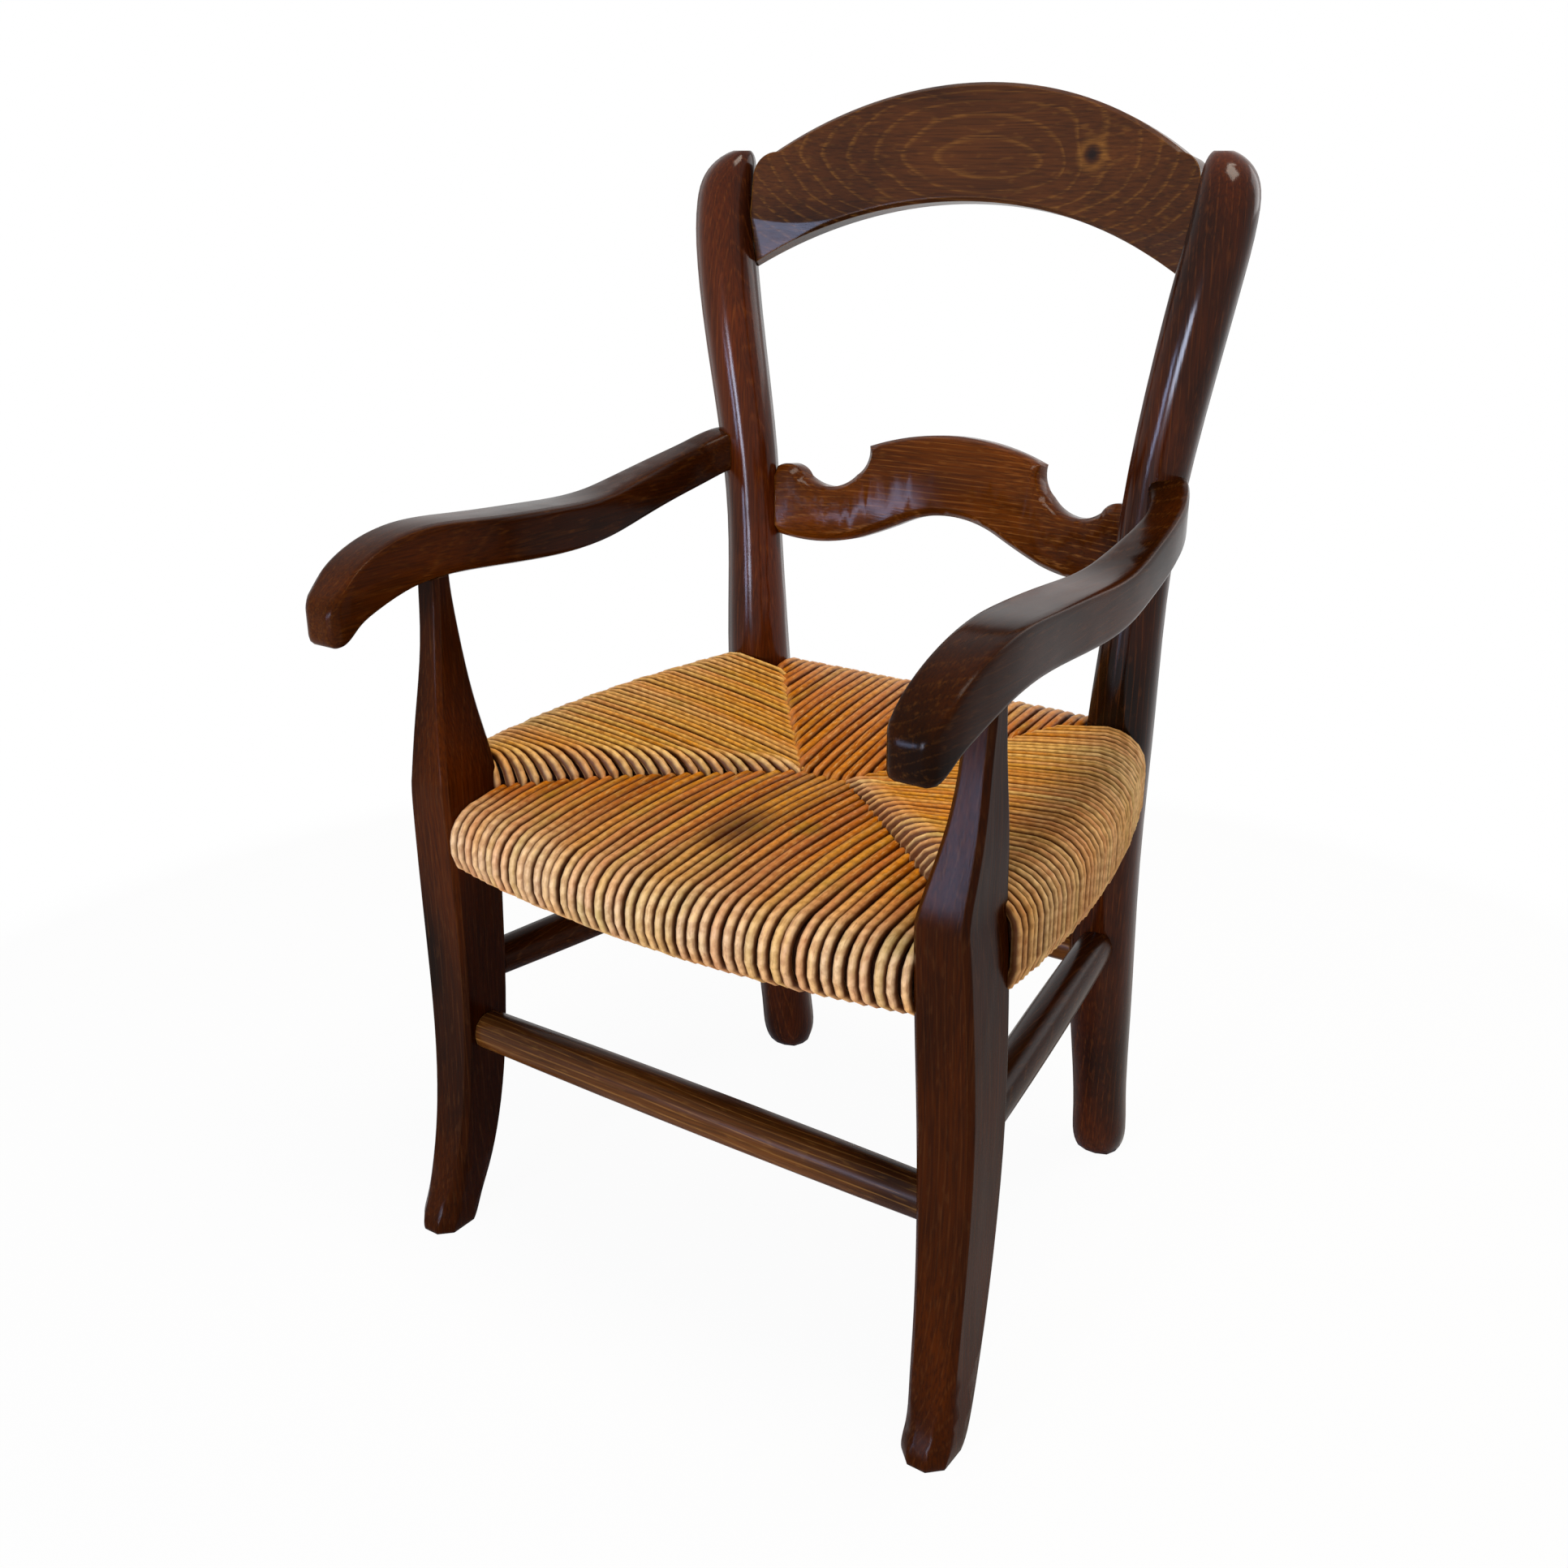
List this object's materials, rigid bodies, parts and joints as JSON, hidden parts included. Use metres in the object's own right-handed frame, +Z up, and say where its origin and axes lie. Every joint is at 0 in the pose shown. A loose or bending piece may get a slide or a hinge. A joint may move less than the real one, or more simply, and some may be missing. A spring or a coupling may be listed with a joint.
{
  "type": "child's rush-seat armchair",
  "caption": "Low country armchair for a child, with a woven rush seat, curved posts, scrolled arms, an arched crest rail and a carved middle rail.",
  "frame": {"origin": "on the floor under the middle of the chair's bounding box", "axes": "+Z up, +X to the right as seen from the front, +Y to the back; the chair faces -Y"},
  "size_m": [0.3714, 0.37, 0.6359],
  "materials": {
    "crest_wood": "gloss varnish over a dark walnut stain",
    "mid_rail_wood": "gloss varnish over a dark walnut stain",
    "arm_wood": "gloss varnish over a dark walnut stain",
    "leg_wood": "gloss varnish over a dark walnut stain",
    "post_wood": "gloss varnish over a dark walnut stain",
    "cross_bar_wood": "gloss varnish over a dark walnut stain",
    "side_bar_wood": "gloss varnish over a dark walnut stain",
    "seat_rail_wood": "plain unfinished beech, hidden by the rush",
    "rush": "twisted straw-coloured rush, slightly waxy"
  },
  "bodies": {
    "root": {"crest_rail": "crest_wood", "mid_rail": "mid_rail_wood", "left_arm": "arm_wood", "right_arm": "arm_wood", "left_front_leg": "leg_wood", "right_front_leg": "leg_wood", "left_rear_post": "post_wood", "right_rear_post": "post_wood", "front_stretcher": "cross_bar_wood", "rear_stretcher": "cross_bar_wood", "left_stretcher": "side_bar_wood", "right_stretcher": "side_bar_wood", "front_seat_rail": "seat_rail_wood", "rear_seat_rail": "seat_rail_wood", "left_seat_rail": "seat_rail_wood", "right_seat_rail": "seat_rail_wood", "rush_seat": "rush"}
  },
  "joints": []
}
